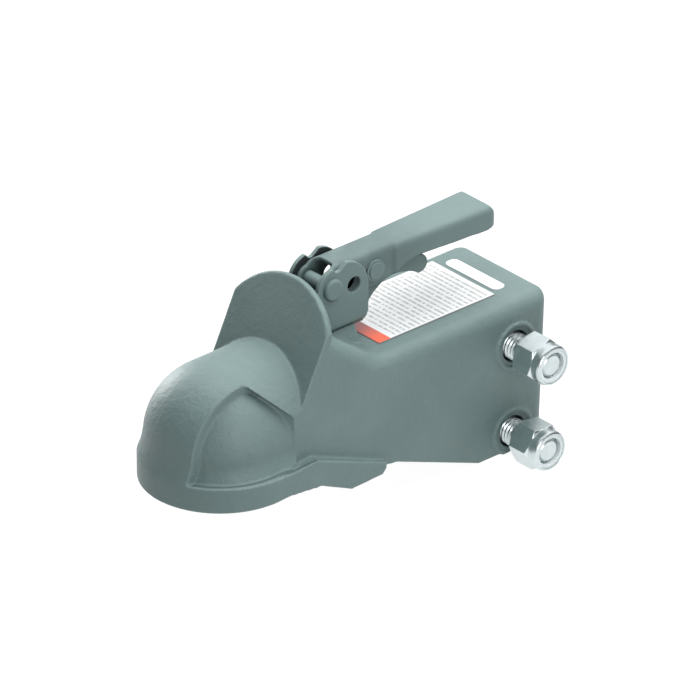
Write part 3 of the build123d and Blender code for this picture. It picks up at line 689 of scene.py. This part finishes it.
# A closed shell between a sheet of points and the same sheet shrunk towards the ball's centre
def addShell(built, sheet, innerRadius):
    outer = [[built.verts.new(point) for point in row] for row in sheet]
    inner = [[built.verts.new(point * innerRadius / point.length) for point in row] for row in sheet]
    lastRow, lastColumn = len(sheet) - 1, len(sheet[0]) - 1
    faces = []
    for side in (outer, inner):
        for row in range(lastRow):
            for column in range(lastColumn):
                corners = (
                    side[row][column], side[row + 1][column],
                    side[row + 1][column + 1], side[row][column + 1],
                )
                faces.append(built.faces.new(corners))
    for row in (0, lastRow):
        for column in range(lastColumn):
            corners = (
                outer[row][column], outer[row][column + 1],
                inner[row][column + 1], inner[row][column],
            )
            faces.append(built.faces.new(corners))
    for column in (0, lastColumn):
        for row in range(lastRow):
            corners = (
                outer[row][column], outer[row + 1][column],
                inner[row + 1][column], inner[row][column],
            )
            faces.append(built.faces.new(corners))
    bmesh.ops.recalc_face_normals(built, faces=faces)


def addNose(mesh):
    look = noseLook
    built = bmesh.new()
    built.from_mesh(mesh)
    noseColumns = evenSteps(look["nearY"], look["farCheekY"] - look["overlap"], look["noseColumns"])
    cheekColumns = evenSteps(look["farCheekY"], look["farEndY"], look["cheekColumns"])
    addShell(built, [flarePoints(y) for y in noseColumns], look["inner"])
    addShell(built, [domePoints(y) for y in cheekColumns], look["inner"])
    built.to_mesh(mesh)
    built.free()


weldDistance = 0.00001


# A copy of a CAD node whose sharp edges are rounded off, as casting and pressing leave them
def softCopy(nodeName, name, material, body, look):
    obj = copyNode(nodeName, name)
    if look.get("nose"):
        addNose(obj.data)
    weld = obj.modifiers.new("weld", "WELD")
    weld.merge_threshold = weldDistance
    remesh = obj.modifiers.new("remesh", "REMESH")
    remesh.mode = "VOXEL"
    remesh.voxel_size = look["voxel"]
    soften = obj.modifiers.new("soften", "SMOOTH")
    soften.factor = look["factor"]
    soften.iterations = look["passes"]
    thin = obj.modifiers.new("thin", "DECIMATE")
    thin.ratio = look["keep"]
    bakeModifiers(obj)
    obj.data.shade_smooth()
    finishPiece(obj, nodeName, material, body)


castSoft = {"voxel": 0.0007, "factor": 0.5, "passes": 1, "keep": 0.27, "nose": True}
pressedSoft = {"voxel": 0.0005, "factor": 0.5, "passes": 3, "keep": 0.5}
handleSoft = {"voxel": 0.0006, "factor": 0.5, "passes": 3, "keep": 0.5}
nutSoft = {"voxel": 0.00024, "factor": 0.5, "passes": 4, "keep": 0.4}

softCopy("coupler_casting", "castingBody", castPaint, "root", castSoft)
softCopy("latch_bracket", "bracketBody", pressedPaint, "root", pressedSoft)
softCopy("handle", "handleBody", handlePaint, "handle", handleSoft)
softCopy("trigger", "triggerBody", handlePaint, "trigger", pressedSoft)
softCopy("lock_nut_upper", "nutUpper", zincPlate, "root", nutSoft)
softCopy("lock_nut_lower", "nutLower", zincPlate, "root", nutSoft)
print("soft pieces made")

# Threads: the CAD's bolt is cut back inside the casting, and nodes make its threaded end
threadLook = {
    "around": 72,
    "rows": 200,
    "pitch": 0.002309,
    "major": 0.00792,
    "minor": 0.00705,
    "crestEnd": 0.06,  # in shares of the pitch, from the middle of the crest
    "rootStart": 0.44,
    "chamfer": 0.0023,
    "endShare": 0.0005,  # the first and the last row close onto the axis
    "cutY": 0.022,
    "tipBack": 0.0008,
}


def makeThreadGroup(material, look):
    group = bpy.data.node_groups.new("boltThread", "GeometryNodeTree")
    group.interface.new_socket("Geometry", in_out="INPUT", socket_type="NodeSocketGeometry")
    group.interface.new_socket("Geometry", in_out="OUTPUT", socket_type="NodeSocketGeometry")
    for label, default in (("Axis X", 0.0), ("Axis Z", 0.0), ("Tip", 0.07), ("Length", 0.04)):
        socket = group.interface.new_socket(label, in_out="INPUT", socket_type="NodeSocketFloat")
        socket.default_value = default
    entry = group.nodes.new("NodeGroupInput")
    leave = group.nodes.new("NodeGroupOutput")

    # A flat grid: across it goes once round the bolt, and down it goes from the tip to the cut
    grid = group.nodes.new("GeometryNodeMeshGrid")
    feed(group, 1.0, grid.inputs["Size X"])
    feed(group, 1.0, grid.inputs["Size Y"])
    feed(group, look["around"] + 1, grid.inputs["Vertices X"])
    feed(group, look["rows"], grid.inputs["Vertices Y"])
    spot = group.nodes.new("GeometryNodeInputPosition")
    gridX, gridY = splitAxes(group, spot.outputs[0])[:2]
    turn = multiply(group, gridX, -2 * math.pi)
    share = mathNode(group, "SUBTRACT", 0.5, gridY)
    step = mathNode(group, "MAXIMUM", mathNode(group, "SUBTRACT", share, 1 / (look["rows"] - 1)), 0.0)
    depth = multiply(group, step, entry.outputs["Length"])

    # The radius swings between crest and root along the helix, inside the tip's chamfer
    winding = mathNode(group, "DIVIDE", turn, 2 * math.pi)
    phase = mathNode(group, "ADD", mathNode(group, "DIVIDE", depth, look["pitch"]), winding)
    wave = mathNode(group, "PINGPONG", phase, 0.5)
    flank = rampNode(
        group, wave, look["crestEnd"], look["rootStart"], look["major"], look["minor"], curve="LINEAR"
    )
    cone = mathNode(group, "ADD", depth, look["major"] - look["chamfer"])
    rings = multiply(
        group,
        mathNode(group, "GREATER_THAN", share, look["endShare"]),
        mathNode(group, "LESS_THAN", share, 1 - look["endShare"]),
    )
    radius = multiply(group, mathNode(group, "MINIMUM", flank, cone), rings)
    across = multiply(group, radius, mathNode(group, "COSINE", turn))
    upward = multiply(group, radius, mathNode(group, "SINE", turn))
    place = joinAxes(
        group,
        mathNode(group, "ADD", entry.outputs["Axis X"], across),
        mathNode(group, "SUBTRACT", entry.outputs["Tip"], depth),
        mathNode(group, "ADD", entry.outputs["Axis Z"], upward),
    )
    move = group.nodes.new("GeometryNodeSetPosition")
    feed(group, grid.outputs["Mesh"], move.inputs["Geometry"])
    feed(group, place, move.inputs["Position"])
    weld = group.nodes.new("GeometryNodeMergeByDistance")
    feed(group, move.outputs[0], weld.inputs["Geometry"])
    feed(group, weldDistance, weld.inputs["Distance"])
    join = group.nodes.new("GeometryNodeJoinGeometry")
    feed(group, entry.outputs["Geometry"], join.inputs[0])
    feed(group, weld.outputs[0], join.inputs[0])
    real = group.nodes.new("GeometryNodeRealizeInstances")
    feed(group, join.outputs[0], real.inputs[0])
    paint = group.nodes.new("GeometryNodeSetMaterial")
    paint.inputs["Material"].default_value = material
    feed(group, real.outputs[0], paint.inputs["Geometry"])
    feed(group, paint.outputs[0], leave.inputs[0])
    return group


threadGroup = makeThreadGroup(zincPlate, threadLook)


def threadedBolt(nodeName, name):
    cutY = threadLook["cutY"]
    obj = copyNode(nodeName, name)
    points = [vertex.co for vertex in obj.data.vertices]
    tip = max(point.y for point in points)
    shank = [point for point in points if point.y > cutY]
    axisX = (min(point.x for point in shank) + max(point.x for point in shank)) / 2
    axisZ = (min(point.z for point in shank) + max(point.z for point in shank)) / 2
    for vertex in obj.data.vertices:
        vertex.co.y = min(vertex.co.y, cutY)
    modifier = obj.modifiers.new("thread", "NODES")
    modifier.node_group = threadGroup
    values = {
        "Axis X": axisX,
        "Axis Z": axisZ,
        "Tip": tip - threadLook["tipBack"],
        "Length": tip - cutY,
    }
    for item in threadGroup.interface.items_tree:
        if item.in_out == "INPUT" and item.name in values:
            modifier[item.identifier] = values[item.name]
    bakeModifiers(obj)
    finishPiece(obj, nodeName, zincPlate, "root")


threadedBolt("hex_bolt_upper", "boltUpper")
threadedBolt("hex_bolt_lower", "boltLower")
print("bolts threaded")

# CAD nodes that are shown as they are
plainNodes = {
    "bracket_rivets": pressedPaint,
    "handle_pivot_pin": pressedPaint,
    "trigger_pin": pressedPaint,
    "trigger_spring": springWire,
    "latch_plunger": bareSteel,
    "plunger_spring": springWire,
    "lock_wedge": bareSteel,
    "wedge_pin": bareSteel,
    "ball_jaw": bareSteel,
    "nylon_ring_upper": nylon,
    "nylon_ring_lower": nylon,
    "main_label": labelFilm,
    "size_tag": tagFilm,
}
for nodeName, material in plainNodes.items():
    giveMaterial(nodes[nodeName], material)
print("plain pieces painted")


# Studio: a pale floor, soft lights and the camera of the photograph
floorLook = {
    "z": -0.0615,  # just under the flat bottom of the casting
    "size": 6.0,
    "color": (0.06, 0.06, 0.06, 1),
    "roughness": 0.7,
    "glowColor": (1, 1, 1, 1),
    "glow": 0.96,
}


def makeFloor(look):
    half = look["size"] / 2
    corners = [(-half, -half, 0), (half, -half, 0), (half, half, 0), (-half, half, 0)]
    mesh = bpy.data.meshes.new("floor")
    mesh.from_pydata(corners, [], [(0, 1, 2, 3)])
    floor = bpy.data.objects.new("floor", mesh)
    bpy.context.scene.collection.objects.link(floor)
    floor.location.z = look["z"]
    material, _, shader = newMaterial("floorPaper", look["roughness"])
    shader.inputs["Base Color"].default_value = look["color"]
    shader.inputs["Emission Color"].default_value = look["glowColor"]
    shader.inputs["Emission Strength"].default_value = look["glow"]
    giveMaterial(floor, material)


worldLook = {"color": (1.0, 1.0, 1.0, 1), "strength": 0.12}


def makeWorld(look):
    world = bpy.data.worlds.new("studio")
    world.use_nodes = True
    background = world.node_tree.nodes["Background"]
    background.inputs["Color"].default_value = look["color"]
    background.inputs["Strength"].default_value = look["strength"]
    bpy.context.scene.world = world


# The softbox lights the paint but doesn't show in the zinc, and the card is the other way round
plainWhite = (1.0, 1.0, 1.0)
lightAim = (-0.08, 0, 0)
lights = {
    "topSoftbox": {
        "place": (-0.45, -0.05, 1.2), "size": 1.9, "power": 64.0, "tint": (1.0, 0.93, 0.925),
        "shows": False, "lights": True,
    },
    "reflectCard": {
        "place": (-0.5, -0.5, 1.5), "size": 3.4, "power": 44.0, "tint": plainWhite,
        "shows": True, "lights": False,
    },
    "sideFill": {
        "place": (0.12, 0.6, 0.22), "size": 0.3, "power": 1.8, "tint": plainWhite,
        "shows": True, "lights": True,
    },
    "leftRim": {
        "place": (-0.14, -0.85, 0.12), "size": 0.3, "power": 4.2, "tint": plainWhite,
        "shows": True, "lights": True,
    },
}


def makeLight(name, look):
    lamp = bpy.data.lights.new(name, "AREA")
    lamp.shape = "SQUARE"
    lamp.size = look["size"]
    lamp.energy = look["power"]
    lamp.color = look["tint"]
    holder = bpy.data.objects.new(name, lamp)
    bpy.context.scene.collection.objects.link(holder)
    holder.visible_glossy = look["shows"]
    holder.visible_diffuse = look["lights"]
    holder.location = look["place"]
    aim = Vector(lightAim) - Vector(look["place"])
    holder.rotation_euler = aim.to_track_quat("-Z", "Y").to_euler()


# The camera puts the target at its pixel in the photograph, at the given scale
cameraLook = {
    "azimuth": 138.6,
    "elevation": 28.8,
    "lens": 480.0,
    "sensor": 36.0,
    "picture": 700,
    "pixelsPerMetre": 1830.0,
    "target": (-0.078, 0.010, 0.010),
    "targetPixel": (340.6, 377.1),
}


def makeCamera(look):
    azimuth, elevation = math.radians(look["azimuth"]), math.radians(look["elevation"])
    back = Vector((
        math.sin(azimuth) * math.cos(elevation),
        -math.cos(azimuth) * math.cos(elevation),
        math.sin(elevation),
    ))
    turn = (-back).to_track_quat("-Z", "Y")
    right, up = turn @ Vector((1, 0, 0)), turn @ Vector((0, 1, 0))
    middle = look["picture"] / 2
    distance = look["lens"] / look["sensor"] * look["picture"] / look["pixelsPerMetre"]
    shiftRight = (middle - look["targetPixel"][0]) / look["pixelsPerMetre"]
    shiftUp = (look["targetPixel"][1] - middle) / look["pixelsPerMetre"]
    data = bpy.data.cameras.new("photoCamera")
    data.lens = look["lens"]
    camera = bpy.data.objects.new("photoCamera", data)
    bpy.context.scene.collection.objects.link(camera)
    camera.rotation_mode = "QUATERNION"
    camera.rotation_quaternion = turn
    camera.location = Vector(look["target"]) + back * distance + right * shiftRight + up * shiftUp
    bpy.context.scene.camera = camera


makeFloor(floorLook)
makeWorld(worldLook)
bpy.context.scene.view_settings.view_transform = "Standard"
for name, look in lights.items():
    makeLight(name, look)
makeCamera(cameraLook)
print("studio made")
